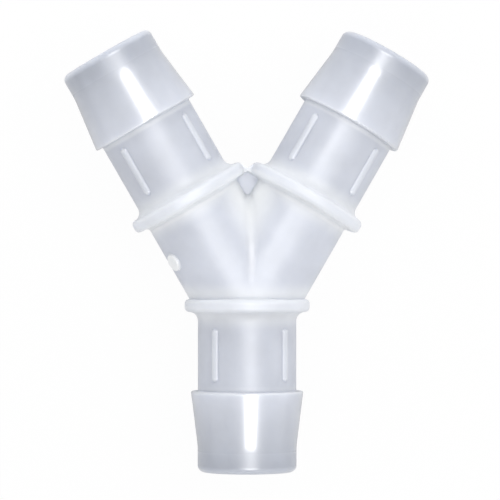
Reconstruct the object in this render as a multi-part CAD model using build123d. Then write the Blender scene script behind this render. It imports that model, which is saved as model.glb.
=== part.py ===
from build123d import *
from OCP.BRepFilletAPI import BRepFilletAPI_MakeFillet
import math
import os

# Tubing Y connector with three hose barbs, moulded in one piece.
# Driving dimensions, in millimetres and degrees.

arm_lean = 30.0  # angle between each arm and the line of the stem

neck_diameter = 19.05  # takes hose of 3/4 inch inside diameter
wall_thickness = 1.6  # between the neck and the bore
body_rise = 0.075  # the arms stand this far over the necks, up to their collars

stem_collar_place = 1.15  # junction point to the middle of the stem's collar
arm_collar_place = 22.8  # junction point to the middle of an arm's collar
grip_length = 16.55  # middle of a collar to the shoulder of its barb
barb_length = 15.65  # shoulder of a barb to its end face
root_tail = 0.2  # a leg starts this far inside the junction, past the fillet of its collar

collar_rise = 2.575  # collar over the neck
collar_thickness = 2.45
collar_round = 0.85
collar_neck_fillet = 1.8
collar_body_fillet = 1.0

barb_rise = 1.375  # edge of the barb's shoulder over the neck
barb_edge_round = 0.3
shoulder_fillet = 0.25
land_rise = 0.05  # straight tip of the barb over the neck
land_length = 5.0
cone_blend = 12.0  # radius that eases the cone into the land
end_round = 1.3
mouth_round = 0.2
end_round_limit = 0.8  # most of the wall that the outer round may take
mouth_round_limit = 0.6  # most of the rest that the inner round may take

rib_count = 4
rib_collar_gap = 1.1  # from the fillet of the collar to the near end of a rib
rib_barb_gap = 1.8  # from the far end of a rib to the shoulder of the barb
rib_radius = 0.9
rib_rise = 0.45  # ribs over the neck
first_rib_turn = 45.0  # round the neck, from the face of the connector

valley_fillet = 5.0  # along the crease between the arms, where it starts over the stem
crotch_fillet = 1.0  # the same fillet at its other end, in the crotch
web_thickness = 1.6  # membrane that closes the crotch below the collars
web_fillet = 0.5
bridge_thickness = 3.0  # joins the two arm collars above the membrane
bridge_height = 0.6  # least height, in the middle
notch_lift = 0.8  # top corners of the bridge over the centres of the collars' rounds

gate_place = 13.4  # junction point to the gate boss, along the left arm
gate_turn = 66.0  # round the left arm, from the face towards the outside
gate_diameter = 3.4
gate_rise = 0.5
gate_round = 0.2

same_place = 0.01  # closer than this counts as the same place

# Sizes that follow from them.

neck_radius = neck_diameter / 2
bore_radius = neck_radius - wall_thickness
body_radius = neck_radius + body_rise
collar_radius = neck_radius + collar_rise
barb_radius = neck_radius + barb_rise
land_radius = neck_radius + land_rise
gate_radius = gate_diameter / 2

end_wall = land_radius - bore_radius
tip_round = min(end_round, end_round_limit * end_wall)
bore_edge_round = min(mouth_round, mouth_round_limit * (end_wall - tip_round))

stem_length = stem_collar_place + grip_length + barb_length
arm_length = arm_collar_place + grip_length + barb_length

lean = math.radians(arm_lean)
stem_turn = 180.0
left_turn = arm_lean
right_turn = -arm_lean


def arm_point(along, across):
    """A point of the right arm: along its axis, and across it towards the crotch."""
    x = along * math.sin(lean) - across * math.cos(lean)
    y = along * math.cos(lean) + across * math.sin(lean)
    return (x, y)


middle_of_wall = neck_radius - wall_thickness / 2
collar_low_side = arm_collar_place - collar_thickness / 2
collar_high_side = arm_collar_place + collar_thickness / 2
collar_corner = arm_point(collar_high_side - collar_round, collar_radius - collar_round)

web_tip = (0, middle_of_wall / math.sin(lean))
web_corner = arm_point(arm_collar_place, middle_of_wall)
bridge_tip = (0, collar_low_side / math.cos(lean))
bridge_corner = (collar_corner[0], bridge_tip[1] - collar_corner[0] * math.tan(lean))
notch_corner = (collar_corner[0], collar_corner[1] + notch_lift)
notch_foot = (0, bridge_tip[1] + bridge_height)

highest_arm_point = arm_point(arm_length - tip_round, land_radius - tip_round)[1] + tip_round
junction_forward = (stem_length - highest_arm_point) / 2


def leg_outline(collar_place):
    """Half section of a leg: radius along X, distance from the junction along Y."""
    collar_low = collar_place - collar_thickness / 2
    collar_high = collar_place + collar_thickness / 2
    root = collar_low - collar_body_fillet - root_tail
    shoulder = collar_place + grip_length
    end = shoulder + barb_length
    corners = [
        (0, root),
        (neck_radius, root),
        (neck_radius, collar_low),
        (collar_radius, collar_low),
        (collar_radius, collar_high),
        (neck_radius, collar_high),
        (neck_radius, shoulder),
        (barb_radius, shoulder),
        (land_radius, end - land_length),
        (land_radius, end),
        (0, end),
    ]
    rounds = [
        0,
        collar_body_fillet,
        collar_round,
        collar_round,
        collar_neck_fillet,
        shoulder_fillet,
        barb_edge_round,
        cone_blend,
        tip_round,
    ]
    return FilletPolyline(*corners, radius=rounds) + Line((0, end), (0, root))


def neck_ribs(collar_place):
    """Round-ended bars along the neck, evenly spaced round it."""
    near = collar_place + collar_thickness / 2 + collar_neck_fillet + rib_collar_gap + rib_radius
    far = collar_place + grip_length - rib_barb_gap - rib_radius
    out = neck_radius + rib_rise - rib_radius
    bar = Pos(0, (near + far) / 2, out) * Rot(90, 0, 0) * Cylinder(rib_radius, far - near)
    bar += Pos(0, near, out) * Sphere(rib_radius)
    bar += Pos(0, far, out) * Sphere(rib_radius)
    ribs = Part()
    for index in range(rib_count):
        ribs += Rot(0, first_rib_turn + index * 360 / rib_count, 0) * bar
    return ribs


def leg_solid(collar_place):
    """One leg from its collar out, without its bore, along +Y from the junction."""
    turned = revolve(make_face(leg_outline(collar_place)), Axis.Y)
    return turned + neck_ribs(collar_place)


def round_bar(radius, length):
    """Plain round bar along +Y, starting at the junction point."""
    return Pos(0, length / 2, 0) * Rot(90, 0, 0) * Cylinder(radius, length)


def gate_boss():
    """Round scar of the moulding gate, on a leg along +Y."""
    sunk = body_radius - wall_thickness / 2
    tall = wall_thickness / 2 + gate_rise
    boss = Pos(0, 0, sunk + tall / 2) * Cylinder(gate_radius, tall)
    rim = boss.edges().group_by(Axis.Z)[-1]
    return Rot(0, -gate_turn, 0) * Pos(0, gate_place, 0) * fillet(rim, gate_round)


def valley_edges(body):
    """The two creases where the arms meet, over the face and under the back."""
    found = []
    for edge in body.edges():
        box = edge.bounding_box()
        if max(abs(box.min.X), abs(box.max.X)) < same_place:
            found.append(edge)
    return found


def filled_valleys(body):
    """The body with its two creases filleted, narrower towards the crotch."""
    maker = BRepFilletAPI_MakeFillet(body.wrapped)
    for edge in valley_edges(body):
        radii = [valley_fillet, crotch_fillet]
        if abs((edge @ 0).Z) < abs((edge @ 1).Z):
            radii.reverse()
        maker.Add(*radii, edge.wrapped)
    return Part(maker.Shape())


def junction():
    """The stem and the plain bodies of both arms, with the valleys between the arms filled."""
    arm = round_bar(body_radius, arm_collar_place)
    stem = leg_solid(stem_collar_place)
    body = Rot(0, 0, left_turn) * arm + Rot(0, 0, right_turn) * arm
    body += Rot(0, 0, stem_turn) * stem
    return filled_valleys(body)


def mirrored_plate(right_side, thickness):
    """Flat plate between the arms from the points of its right side, lowest point first."""
    left_side = [(-across, up) for across, up in reversed(right_side[1:-1])]
    outline = make_face(Polyline(*right_side, *left_side, close=True))
    return extrude(outline, thickness / 2, both=True)


def crotch_web():
    """Membrane that fills the crotch, rooted in the walls and collars of both arms."""
    return mirrored_plate([web_tip, web_corner, notch_corner, notch_foot], web_thickness)


def crotch_bridge():
    """Thicker piece over the membrane, from one arm collar to the other."""
    right_side = [bridge_tip, bridge_corner, notch_corner, notch_foot]
    return mirrored_plate(right_side, bridge_thickness)


def web_edges(body):
    """Edges of the two flat faces of the membrane, at the foot of the crotch pockets."""
    found = []
    for face in body.faces().filter_by(Axis.Z):
        if abs(abs(face.center().Z) - web_thickness / 2) < same_place:
            found += face.edges()
    return found


def bores():
    """The three bores, which meet at the junction point and leave through the end faces."""
    arm = round_bar(bore_radius, arm_length)
    stem = round_bar(bore_radius, stem_length)
    return Rot(0, 0, left_turn) * arm + Rot(0, 0, right_turn) * arm + Rot(0, 0, stem_turn) * stem


def mouth_edges(body):
    """The inner rims of the three mouths."""
    circles = body.edges().filter_by(GeomType.CIRCLE)
    return [edge for edge in circles if abs(edge.radius - bore_radius) < same_place]


def connector():
    """The whole moulding, face up, lying on the rims of its three collars."""
    arm = leg_solid(arm_collar_place)
    body = junction() + Rot(0, 0, right_turn) * arm + Rot(0, 0, left_turn) * (arm + gate_boss())
    body = body + crotch_web() + crotch_bridge()
    body = fillet(web_edges(body), web_fillet)
    body = body - bores()
    body = fillet(mouth_edges(body), bore_edge_round)
    return Pos(0, junction_forward, collar_radius) * body


os.makedirs("parts", exist_ok=True)
export_step(connector(), "parts/y_connector.step")
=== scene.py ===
"""Tubing Y connector: its moulded plastic, its stage and its camera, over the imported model."""

import math

import bpy
from bpy.props import FloatProperty, FloatVectorProperty, PointerProperty
from mathutils import Euler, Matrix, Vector

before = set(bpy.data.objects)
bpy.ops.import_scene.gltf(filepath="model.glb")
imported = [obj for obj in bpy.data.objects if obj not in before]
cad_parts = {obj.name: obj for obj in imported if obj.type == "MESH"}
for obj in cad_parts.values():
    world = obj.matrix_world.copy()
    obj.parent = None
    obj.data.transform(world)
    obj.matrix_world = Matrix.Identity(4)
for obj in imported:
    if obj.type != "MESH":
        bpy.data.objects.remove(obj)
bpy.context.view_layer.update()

bl_info = {
    "name": "Tubing Y connector",
    "version": (1, 0, 0),
    "blender": (4, 5, 0),
    "location": "3D View > Sidebar > Connector",
    "description": "Dresses the packed tubing Y connector and sets its stage and camera",
    "category": "Object",
}

NODE = "y_connector"
MILLIMETRE = 0.001

# Where the legs meet and which way they run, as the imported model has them.
JUNCTION = (0.0, -0.0092965, 0.0121)
ARM_LEAN = math.radians(30.0)
LEGS = (
    ((0.0, -1.0, 0.0), 0.03335),
    ((-math.sin(ARM_LEAN), math.cos(ARM_LEAN), 0.0), 0.0550),
    ((math.sin(ARM_LEAN), math.cos(ARM_LEAN), 0.0), 0.0550),
)

# The gate scar on the left arm: along the arm, round it from the face, and out to its top.
GATE_ALONG = 13.4 * MILLIMETRE
GATE_TURN = math.radians(66.0)
GATE_TOP = 10.1 * MILLIMETRE

# Places along each leg, from its end face. The root is where the collar meets the body.
SHOULDER = 15.65 * MILLIMETRE
COLLAR = 32.2 * MILLIMETRE
COLLAR_ROOT = COLLAR + 1.8 * MILLIMETRE

# Just over the neck and just under the top of a rib, from the axis of a leg.
RIB_LOW = 9.65 * MILLIMETRE
RIB_HIGH = 9.9 * MILLIMETRE

# Faces of the membrane, from the middle plane of the connector.
MEMBRANE_FACE = 0.8 * MILLIMETRE


def linear(code):
    """An sRGB hex code as a linear colour with alpha."""
    channels = [int(code[start:start + 2], 16) / 255 for start in (1, 3, 5)]
    curved = [c / 12.92 if c <= 0.04045 else ((c + 0.055) / 1.055) ** 2.4 for c in channels]
    return (*curved, 1.0)


def gate_place():
    """Middle of the top of the gate scar."""
    along, _ = LEGS[1]
    outward = (-math.cos(ARM_LEAN), -math.sin(ARM_LEAN), 0.0)
    upward = (0.0, 0.0, 1.0)
    place = Vector(JUNCTION) + GATE_ALONG * Vector(along)
    place += GATE_TOP * math.sin(GATE_TURN) * Vector(outward)
    return place + GATE_TOP * math.cos(GATE_TURN) * Vector(upward)


def add_node(tree, kind, inputs=None, **settings):
    """Add a node with its settings. Each input is a value, or a node or output to link from."""
    node = tree.nodes.new(kind)
    for name, value in settings.items():
        setattr(node, name, value)
    for key, value in (inputs or {}).items():
        socket = node.inputs[key] if isinstance(key, int) else next(
            item for item in node.inputs if item.name == key and item.enabled)
        if isinstance(value, bpy.types.Node):
            value = next(item for item in value.outputs if item.enabled)
        if isinstance(value, bpy.types.NodeSocket):
            tree.links.new(value, socket)
        else:
            socket.default_value = value
    return node


class PlasticSettings(bpy.types.PropertyGroup):
    """Looks of the moulded polypropylene."""

    thin_colour: FloatVectorProperty(
        name="Thin colour", description="Walls of the necks, bodies and barbs",
        subtype="COLOR", size=4, default=linear("#d2d6e0"))
    # Used for the thick parts and for all the painted light and painted highlights on the
    # plastic.
    thick_and_painted_light_colour: FloatVectorProperty(
        name="Thick colour", description="Collars, crotch and gate scar, where it is thickest",
        subtype="COLOR", size=4, default=linear("#eaecee"))
    # The tips are greyer partly because their walls are thinnest, partly as painted shade.
    tip_and_painted_shade_colour: FloatVectorProperty(
        name="Tip colour", description="Tips of the barbs, just behind their end faces",
        subtype="COLOR", size=4, default=linear("#abb0bb"))
    scatter_depth: FloatProperty(
        name="Scatter depth", description="How far light travels inside the plastic",
        default=0.0020, unit="LENGTH")
    polished: FloatProperty(
        name="Polished roughness", description="Roughness of the skin on the barbs",
        default=0.20)
    frosted: FloatProperty(
        name="Frosted roughness", description="Roughness under the skin, and of all the rest",
        default=0.38)
    grain: FloatProperty(
        name="Grain", description="Width of the fine texture that the mould leaves",
        default=0.00025, unit="LENGTH")
    waviness: FloatProperty(
        name="Waviness", description="Width of the slow ripples left by shrinkage",
        default=0.004, unit="LENGTH")
    cloud_width: FloatProperty(
        name="Cloud width", description="Width of the slow clouds that the melt leaves",
        default=0.006, unit="LENGTH")


class StageSettings(bpy.types.PropertyGroup):
    """Floor, light and camera."""

    ambient: FloatProperty(
        name="Ambient", description="Strength of the even light from all round", default=0.935)
    lamp_radiance: FloatProperty(
        name="Lamp radiance", description="Brightness of the face of each softbox", default=22.0)
    lamp_width: FloatProperty(
        name="Lamp width", description="Width of each softbox", default=0.32, unit="LENGTH")
    lamp_depth: FloatProperty(
        name="Lamp depth", description="Depth of each softbox", default=0.24, unit="LENGTH")
    lamp_height: FloatProperty(
        name="Lamp height", description="Softboxes over the floor", default=0.8, unit="LENGTH")
    side_fill_radiance: FloatProperty(
        name="Side fill radiance", description="Brightness of the fill on the right",
        default=0.70)
    side_fill_width: FloatProperty(
        name="Side fill width", description="Width of the fill on the right",
        default=0.28, unit="LENGTH")
    low_fill_radiance: FloatProperty(
        name="Low fill radiance", description="Brightness of the fill past the left arm",
        default=1.9)
    low_fill_width: FloatProperty(
        name="Low fill width", description="Width of the fill past the left arm",
        default=0.08, unit="LENGTH")
    floor_glow: FloatProperty(
        name="Floor glow", description="Share of plain white in the floor that the camera sees",
        default=0.96)
    camera_distance: FloatProperty(
        name="Camera distance", description="From the camera to the point it looks at",
        default=0.630, unit="LENGTH")
    camera_lean: FloatProperty(
        name="Camera lean", description="Turn of the camera round the stem's direction",
        default=math.radians(-4.87), subtype="ANGLE")
    aim: FloatVectorProperty(
        name="Aim", description="Point in the middle of the picture", size=3,
        default=(0.000557, 0.000283, 0.0121), unit="LENGTH")
    view_width: FloatProperty(
        name="View width", description="Width that the picture shows at the aim",
        default=0.0968, unit="LENGTH")


class Places:
    """Outputs that say where on the connector a point of the surface is."""

    def __init__(self, tree):
        self.point = add_node(tree, "ShaderNodeTexCoord").outputs["Object"]
        self.offset = add_node(tree, "ShaderNodeVectorMath", {0: self.point, 1: JUNCTION},
                               operation="SUBTRACT")
        parts = add_node(tree, "ShaderNodeSeparateXYZ", {0: self.offset})
        self.forward = parts.outputs["Y"]
        self.apart = add_node(tree, "ShaderNodeMath", {0: parts.outputs["X"]},
                              operation="ABSOLUTE")
        self.level = add_node(tree, "ShaderNodeMath", {0: parts.outputs["Z"]},
                              operation="ABSOLUTE")
        self.to_end, self.to_axis = self.leg_places(tree)
        self.inward = self.crotch_place(tree)

    def leg_places(self, tree):
        """Distance from the nearest end face, and from the nearest leg's axis."""
        to_end = to_axis = None
        for direction, length in LEGS:
            along = add_node(tree, "ShaderNodeVectorMath", {0: self.offset, 1: direction},
                             operation="DOT_PRODUCT")
            left = add_node(tree, "ShaderNodeMath", {0: length, 1: along},
                            operation="SUBTRACT")
            on_leg = add_node(tree, "ShaderNodeMath", {0: along, 1: 0.0},
                              operation="MAXIMUM")
            foot = add_node(tree, "ShaderNodeVectorMath", {0: direction, "Scale": on_leg},
                            operation="SCALE")
            radius = add_node(tree, "ShaderNodeVectorMath", {0: self.offset, 1: foot},
                              operation="DISTANCE")
            if to_end is None:
                to_end, to_axis = left, radius
            else:
                to_end = add_node(tree, "ShaderNodeMath", {0: to_end, 1: left},
                                  operation="MINIMUM")
                to_axis = add_node(tree, "ShaderNodeMath", {0: to_axis, 1: radius},
                                   operation="MINIMUM")
        return to_end, to_axis

    def crotch_place(self, tree):
        """Distance from the axis of an arm, square to it, towards the crotch."""
        outward = add_node(tree, "ShaderNodeMath", {0: self.apart, 1: math.cos(ARM_LEAN)},
                           operation="MULTIPLY")
        inward = add_node(tree, "ShaderNodeMath", {0: self.forward, 1: math.sin(ARM_LEAN)},
                          operation="MULTIPLY")
        return add_node(tree, "ShaderNodeMath", {0: inward, 1: outward},
                        operation="SUBTRACT")


def collar_white_and_painted_light(tree, places, on_arms):
    """Node: whiteness of the solid collars, and of the roots of the walls beside them, which is
    partly painted light over the corner shade.
    """
    past_collar = add_node(tree, "ShaderNodeMath", {0: places.to_end, 1: COLLAR},
                           operation="SUBTRACT")
    from_collar = add_node(tree, "ShaderNodeMath", {0: past_collar}, operation="ABSOLUTE")
    # Painted light over the corner shade on both sides of each collar, partly also the thicker
    # roots of the walls there.
    beside = add_node(tree, "ShaderNodeMapRange", {
        "Value": from_collar, "From Min": 5.0 * MILLIMETRE, "From Max": 1.7 * MILLIMETRE,
        "To Max": 0.6}, interpolation_type="SMOOTHSTEP")
    rim = add_node(tree, "ShaderNodeMapRange", {
        "Value": from_collar, "From Min": 1.6 * MILLIMETRE, "From Max": 0.9 * MILLIMETRE,
        "To Max": 0.20}, interpolation_type="SMOOTHSTEP")
    collar = add_node(tree, "ShaderNodeMath", {0: beside, 1: rim}, operation="SUBTRACT")

    # The roots of the arms, on the side of the junction, are whiter still: painted light over
    # the shade in the groove beside the collar, and partly a thicker root.
    from_root = add_node(tree, "ShaderNodeMath", {0: places.to_end, 1: COLLAR_ROOT},
                         operation="SUBTRACT")
    from_root = add_node(tree, "ShaderNodeMath", {0: from_root}, operation="ABSOLUTE")
    root = add_node(tree, "ShaderNodeMapRange", {
        "Value": from_root, "From Min": 1.6 * MILLIMETRE, "From Max": 0.4 * MILLIMETRE,
        "To Max": 0.8}, interpolation_type="SMOOTHSTEP")
    root = add_node(tree, "ShaderNodeMath", {0: root, 1: on_arms}, operation="MULTIPLY")
    return add_node(tree, "ShaderNodeMath", {0: collar, 1: root}, operation="MAXIMUM")


def shoulder_painted_light(tree, places, on_arms):
    """Node: painted light along the end of each neck, over the shade line at the shoulder."""
    neck_end = SHOULDER + 0.45 * MILLIMETRE
    from_shoulder = add_node(tree, "ShaderNodeMath", {0: places.to_end, 1: neck_end},
                             operation="SUBTRACT")
    from_shoulder = add_node(tree, "ShaderNodeMath", {0: from_shoulder},
                             operation="ABSOLUTE")
    band = add_node(tree, "ShaderNodeMapRange", {
        "Value": from_shoulder, "From Min": 0.9 * MILLIMETRE, "From Max": 0.2 * MILLIMETRE,
    }, interpolation_type="SMOOTHSTEP")
    # More painted light on the arms, whose shoulders lie more in shade.
    most = add_node(tree, "ShaderNodeMapRange", {
        "Value": on_arms, "To Min": 0.15, "To Max": 0.45})
    return add_node(tree, "ShaderNodeMath", {0: band, 1: most}, operation="MULTIPLY")


def crotch_white_and_painted_light(tree, places):
    """Node: whiteness of the merging walls of the arms, behind their collars: partly their
    thickness, partly painted light over the shade between the arms.
    """
    merged = add_node(tree, "ShaderNodeMapRange", {
        "Value": places.inward, "From Min": 3 * MILLIMETRE, "From Max": 9 * MILLIMETRE,
    }, interpolation_type="SMOOTHSTEP")
    behind_collars = add_node(tree, "ShaderNodeMapRange", {
        "Value": places.to_end, "From Min": 31.0 * MILLIMETRE,
        "From Max": 34.0 * MILLIMETRE})
    return add_node(tree, "ShaderNodeMath", {0: merged, 1: behind_collars},
                    operation="MULTIPLY")


def rib_white_and_painted_highlight(tree, places):
    """Node: whiteness of the ribs: partly because they are a little thicker than the necks,
    partly a painted highlight.
    """
    rib = add_node(tree, "ShaderNodeMapRange", {
        "Value": places.to_axis, "From Min": RIB_LOW, "From Max": RIB_HIGH, "To Max": 0.15})
    on_neck = add_node(tree, "ShaderNodeMath", {0: places.to_end, 1: 17 * MILLIMETRE},
                       operation="GREATER_THAN")
    return add_node(tree, "ShaderNodeMath", {0: rib, 1: on_neck}, operation="MULTIPLY")


def off_membrane(tree, places):
    """Node: 0 on the membrane in the crotch, which is thin and stays grey, and 1 elsewhere."""
    above = add_node(tree, "ShaderNodeMapRange", {
        "Value": places.level, "From Min": MEMBRANE_FACE,
        "From Max": MEMBRANE_FACE + 0.15 * MILLIMETRE})
    beside = add_node(tree, "ShaderNodeMath", {0: places.inward, 1: 9 * MILLIMETRE},
                      operation="LESS_THAN")
    return add_node(tree, "ShaderNodeMath", {0: above, 1: beside}, operation="MAXIMUM")


def whiteness(tree, places):
    """Node: 1 where the plastic is thickest and whitest and where light or a highlight is
    painted, 0 where it is a thin wall.
    """
    on_arms = add_node(tree, "ShaderNodeMath", {0: places.forward, 1: 8 * MILLIMETRE},
                       operation="GREATER_THAN")
    most = collar_white_and_painted_light(tree, places, on_arms)
    for other in (shoulder_painted_light(tree, places, on_arms), crotch_white_and_painted_light(tree, places),
                  rib_white_and_painted_highlight(tree, places)):
        most = add_node(tree, "ShaderNodeMath", {0: most, 1: other}, operation="MAXIMUM")
    most = add_node(tree, "ShaderNodeMath", {0: most, 1: off_membrane(tree, places)},
                    operation="MULTIPLY")
    # The gate scar is whiter partly as a thicker pad, partly as a painted highlight on its front
    # slope.
    from_gate = add_node(tree, "ShaderNodeVectorMath", {0: places.point, 1: gate_place()},
                         operation="DISTANCE")
    gate = add_node(tree, "ShaderNodeMapRange", {
        "Value": from_gate, "From Min": 2.1 * MILLIMETRE, "From Max": 1.6 * MILLIMETRE})
    return add_node(tree, "ShaderNodeMath", {0: most, 1: gate}, operation="MAXIMUM")


def neck_grey_and_painted_crease_shade(tree, places):
    """Node: factor on the thin colour, lower on the necks, with painted shade along the arms'
    crease.
    """
    start = add_node(tree, "ShaderNodeMapRange", {
        "Value": places.to_end, "From Min": 15.6 * MILLIMETRE,
        "From Max": 15.8 * MILLIMETRE})
    end = add_node(tree, "ShaderNodeMapRange", {
        "Value": places.to_end, "From Min": 32 * MILLIMETRE, "From Max": 30 * MILLIMETRE})
    neck = add_node(tree, "ShaderNodeMath", {0: start, 1: end}, operation="MULTIPLY")
    factor = add_node(tree, "ShaderNodeMapRange", {
        "Value": neck, "To Min": 0.975, "To Max": 0.89})

    # Painted shade along the crease where the arms meet, fading out along it.
    crease_shade = add_node(tree, "ShaderNodeMapRange", {
        "Value": places.apart, "From Min": 1.3 * MILLIMETRE, "From Max": 0.2 * MILLIMETRE,
        "To Max": 0.14}, interpolation_type="SMOOTHSTEP")
    crease_ends = ((14, 11), (4, 7))  # faded and full, in millimetres past the junction
    for faded, full in crease_ends:
        fade = add_node(tree, "ShaderNodeMapRange", {
            "Value": places.forward, "From Min": faded * MILLIMETRE,
            "From Max": full * MILLIMETRE})
        crease_shade = add_node(tree, "ShaderNodeMath", {0: crease_shade, 1: fade},
                          operation="MULTIPLY")
    return add_node(tree, "ShaderNodeMath", {0: factor, 1: crease_shade}, operation="SUBTRACT")


def plastic_colour(tree, settings, places, thick_and_painted_light):
    """Node: thick parts and painted light white, thin walls greyer, and the tips of the barbs
    the greyest, which is partly painted shade.
    """
    back = add_node(tree, "ShaderNodeMapRange", {
        "Value": places.to_end, "From Min": 1 * MILLIMETRE, "From Max": SHOULDER})
    # Painted light on the rounded end faces, over the shade they fall into.
    mouth_painted_light = add_node(tree, "ShaderNodeMapRange", {
        "Value": places.to_end, "From Min": 1.5 * MILLIMETRE, "From Max": 0.3 * MILLIMETRE,
        "To Max": 0.55}, interpolation_type="SMOOTHSTEP")
    back = add_node(tree, "ShaderNodeMath", {0: back, 1: mouth_painted_light}, operation="MAXIMUM")
    wall = add_node(tree, "ShaderNodeMix", {
        "Factor": back, "A": settings.tip_and_painted_shade_colour, "B": settings.thin_colour,
    }, data_type="RGBA")
    wall = add_node(tree, "ShaderNodeVectorMath", {
        0: wall, "Scale": neck_grey_and_painted_crease_shade(tree, places)}, operation="SCALE")
    solid = add_node(tree, "ShaderNodeMix", {
        "Factor": thick_and_painted_light, "A": wall, "B": settings.thick_and_painted_light_colour}, data_type="RGBA")

    clouds = add_node(tree, "ShaderNodeTexNoise", {
        "Vector": places.point, "Scale": 1 / settings.cloud_width, "Detail": 3.0})
    cloudy = add_node(tree, "ShaderNodeMapRange", {
        "Value": clouds, "From Min": 0.3, "From Max": 0.7, "To Min": 0.955, "To Max": 1.045})
    return add_node(tree, "ShaderNodeVectorMath", {0: solid, "Scale": cloudy},
                    operation="SCALE")


def polypropylene(settings):
    """Natural polypropylene, moulded: milky and slightly blue, with polished barbs."""
    material = bpy.data.materials.new("Natural polypropylene, moulded")
    material.use_nodes = True
    tree = material.node_tree
    tree.nodes.clear()
    places = Places(tree)
    thick_and_painted_light = whiteness(tree, places)

    # Behind their shoulders the mould is finely frosted. The barbs keep a polished skin,
    # which thins out and dulls towards their ends.
    frosted = add_node(tree, "ShaderNodeMapRange", {
        "Value": places.to_end, "From Min": 15.55 * MILLIMETRE,
        "From Max": 15.75 * MILLIMETRE})
    kept = add_node(tree, "ShaderNodeMapRange", {
        "Value": places.to_end, "From Min": 2.5 * MILLIMETRE, "From Max": 5.5 * MILLIMETRE,
        "To Min": 0.45}, interpolation_type="SMOOTHSTEP")
    skin = add_node(tree, "ShaderNodeMath", {0: kept, 1: frosted}, operation="SUBTRACT",
                    use_clamp=True)
    skin_rough = add_node(tree, "ShaderNodeMapRange", {
        "Value": places.to_end, "From Min": 2.5 * MILLIMETRE, "From Max": 5.5 * MILLIMETRE,
        "To Min": settings.polished + 0.15, "To Max": settings.polished})
    edge_light = add_node(tree, "ShaderNodeMapRange", {
        "Value": frosted, "To Min": 0.35, "To Max": 0.15})

    ripple = add_node(tree, "ShaderNodeTexNoise", {
        "Vector": places.point, "Scale": 1 / settings.waviness, "Detail": 0.0})
    patchy = add_node(tree, "ShaderNodeMapRange", {
        "Value": ripple, "From Min": 0.3, "From Max": 0.7,
        "To Min": settings.frosted - 0.03, "To Max": settings.frosted + 0.03})
    duller = add_node(tree, "ShaderNodeMath", {0: thick_and_painted_light, 1: 0.35}, operation="MULTIPLY")
    rough = add_node(tree, "ShaderNodeMath", {0: patchy, 1: duller}, operation="ADD")
    grain = add_node(tree, "ShaderNodeTexNoise", {
        "Vector": places.point, "Scale": 1 / settings.grain, "Detail": 1.0})
    slow = add_node(tree, "ShaderNodeBump", {
        "Height": ripple, "Strength": 1.0, "Distance": 0.012 * MILLIMETRE})
    fine = add_node(tree, "ShaderNodeBump", {
        "Height": grain, "Strength": frosted, "Distance": 0.004 * MILLIMETRE,
        "Normal": slow})

    shader = add_node(tree, "ShaderNodeBsdfPrincipled", {
        "Base Color": plastic_colour(tree, settings, places, thick_and_painted_light),
        "Roughness": rough,
        "IOR": 1.49,
        "Specular IOR Level": 0.85,
        "Subsurface Weight": 1.0,
        "Subsurface Radius": (1.0, 1.0, 1.0),
        "Subsurface Scale": settings.scatter_depth,
        "Sheen Weight": edge_light,
        "Sheen Roughness": 0.5,
        "Coat Weight": skin,
        "Coat Roughness": skin_rough,
        "Coat IOR": 1.49,
        "Coat Normal": slow,
        "Normal": fine,
    })
    add_node(tree, "ShaderNodeOutputMaterial", {"Surface": shader})
    return material


class CONNECTOR_OT_dress(bpy.types.Operator):
    """Give the connector its moulded plastic."""

    bl_idname = "connector.dress"
    bl_label = "Dress the connector"

    def execute(self, context):
        part = bpy.data.objects[NODE]
        material = polypropylene(context.scene.connector_plastic)
        for slot in part.material_slots:
            slot.material = material
        return {"FINISHED"}


def floor_material(glow):
    """White paper, seen almost as plain white, and grey in reflections."""
    material = bpy.data.materials.new("White studio paper")
    material.use_nodes = True
    tree = material.node_tree
    tree.nodes.clear()
    rays = add_node(tree, "ShaderNodeLightPath")
    seen = add_node(tree, "ShaderNodeMath", {
        0: rays.outputs["Is Camera Ray"], 1: rays.outputs["Is Transmission Ray"],
    }, operation="MAXIMUM")
    share = add_node(tree, "ShaderNodeMath", {0: seen, 1: glow}, operation="MULTIPLY")
    shade = add_node(tree, "ShaderNodeMix", {
        "Factor": rays.outputs["Is Glossy Ray"], "A": linear("#f2f2f2"),
        "B": linear("#b8b8b8")}, data_type="RGBA")
    paper = add_node(tree, "ShaderNodeBsdfDiffuse", {"Color": shade})
    white = add_node(tree, "ShaderNodeEmission", {"Color": linear("#ffffff")})
    mixed = add_node(tree, "ShaderNodeMixShader", {0: share, 1: paper, 2: white})
    add_node(tree, "ShaderNodeOutputMaterial", {"Surface": mixed})
    return material


def make_floor(glow):
    """A round white floor, just under the object."""
    radius = 1.5
    corner_count = 64
    turns = [corner * math.tau / corner_count for corner in range(corner_count)]
    corners = [(math.cos(turn) * radius, math.sin(turn) * radius, 0.0) for turn in turns]
    mesh = bpy.data.meshes.new("floor")
    mesh.from_pydata(corners, [], [tuple(range(corner_count))])
    mesh.materials.append(floor_material(glow))
    floor = bpy.data.objects.new("floor", mesh)
    bpy.context.collection.objects.link(floor)


def set_world(strength):
    """Even light from all round, plain white where it is seen, directly or in a reflection."""
    world = bpy.data.worlds.new("White surroundings")
    world.use_nodes = True
    bpy.context.scene.world = world
    tree = world.node_tree
    tree.nodes.clear()
    rays = add_node(tree, "ShaderNodeLightPath")
    seen = add_node(tree, "ShaderNodeMath", {
        0: rays.outputs["Is Camera Ray"], 1: rays.outputs["Is Glossy Ray"],
    }, operation="MAXIMUM")
    seen = add_node(tree, "ShaderNodeMath", {
        0: seen, 1: rays.outputs["Is Transmission Ray"]}, operation="MAXIMUM")
    level = add_node(tree, "ShaderNodeMapRange", {
        "Value": seen, "To Min": strength, "To Max": 1.0})
    light = add_node(tree, "ShaderNodeBackground", {
        "Color": linear("#ffffff"), "Strength": level})
    add_node(tree, "ShaderNodeOutputWorld", {"Surface": light})


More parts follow.
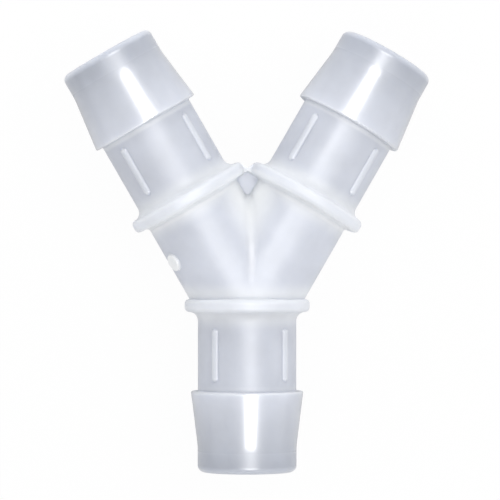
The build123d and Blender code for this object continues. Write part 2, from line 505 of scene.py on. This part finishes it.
def add_lamp(name, place, target, width, depth, radiance):
    """A rectangular lamp at a place, turned to its target."""
    lamp = bpy.data.lights.new(name, "AREA")
    lamp.shape = "RECTANGLE"
    lamp.size = width
    lamp.size_y = depth
    lamp.energy = radiance * math.pi * width * depth
    holder = bpy.data.objects.new(name, lamp)
    holder.location = place
    holder.rotation_euler = (Vector(place) - Vector(target)).to_track_quat("Z", "Y").to_euler()
    bpy.context.collection.objects.link(holder)
    return holder


def add_lamps(stage):
    """Softboxes that give only the highlights, and fills that give no highlight."""
    for name, place in (("softbox over the arms", (0.008, 0.320, stage.lamp_height)),
                        ("softbox over the stem", (0.048, -0.290, stage.lamp_height))):
        softbox = add_lamp(name, place, stage.aim, stage.lamp_width, stage.lamp_depth,
                           stage.lamp_radiance)
        softbox.visible_diffuse = False
    for name, place, width, radiance in (
            ("side fill", (0.17, 0.10, 0.20),
             stage.side_fill_width, stage.side_fill_radiance),
            ("low fill past the left arm", (-0.06, 0.13, 0.05),
             stage.low_fill_width, stage.low_fill_radiance)):
        fill = add_lamp(name, place, stage.aim, width, width, radiance)
        fill.visible_glossy = False


def set_camera(stage):
    """The camera looks almost straight down, with the arms at the top of the picture."""
    camera = bpy.data.cameras.new("camera")
    camera.sensor_width = 36.0
    camera.lens = camera.sensor_width * stage.camera_distance / stage.view_width
    holder = bpy.data.objects.new("camera", camera)
    turn = Euler((0.0, stage.camera_lean, 0.0))
    back = Vector((0.0, 0.0, stage.camera_distance))
    back.rotate(turn)
    holder.location = Vector(stage.aim) + back
    holder.rotation_euler = turn
    bpy.context.collection.objects.link(holder)
    bpy.context.scene.camera = holder


class CONNECTOR_OT_stage(bpy.types.Operator):
    """Set the floor, the light and the camera."""

    bl_idname = "connector.stage"
    bl_label = "Set the stage"

    def execute(self, context):
        stage = context.scene.connector_stage
        context.scene.view_settings.view_transform = "Standard"
        make_floor(stage.floor_glow)
        set_world(stage.ambient)
        add_lamps(stage)
        set_camera(stage)
        return {"FINISHED"}


class CONNECTOR_PT_panel(bpy.types.Panel):
    """Lists the steps and their settings."""

    bl_label = "Tubing Y connector"
    bl_idname = "CONNECTOR_PT_panel"
    bl_space_type = "VIEW_3D"
    bl_region_type = "UI"
    bl_category = "Connector"

    def draw(self, context):
        groups = (
            (CONNECTOR_OT_dress, context.scene.connector_plastic),
            (CONNECTOR_OT_stage, context.scene.connector_stage),
        )
        for operator, settings in groups:
            box = self.layout.box()
            box.operator(operator.bl_idname)
            for name in settings.__annotations__:
                box.prop(settings, name)


CLASSES = (
    PlasticSettings,
    StageSettings,
    CONNECTOR_OT_dress,
    CONNECTOR_OT_stage,
    CONNECTOR_PT_panel,
)


def register():
    for cls in CLASSES:
        bpy.utils.register_class(cls)
    bpy.types.Scene.connector_plastic = PointerProperty(type=PlasticSettings)
    bpy.types.Scene.connector_stage = PointerProperty(type=StageSettings)


def unregister():
    del bpy.types.Scene.connector_stage
    del bpy.types.Scene.connector_plastic
    for cls in reversed(CLASSES):
        bpy.utils.unregister_class(cls)


def main():
    register()
    bpy.ops.connector.dress()
    bpy.ops.connector.stage()


if __name__ == "__main__":
    main()
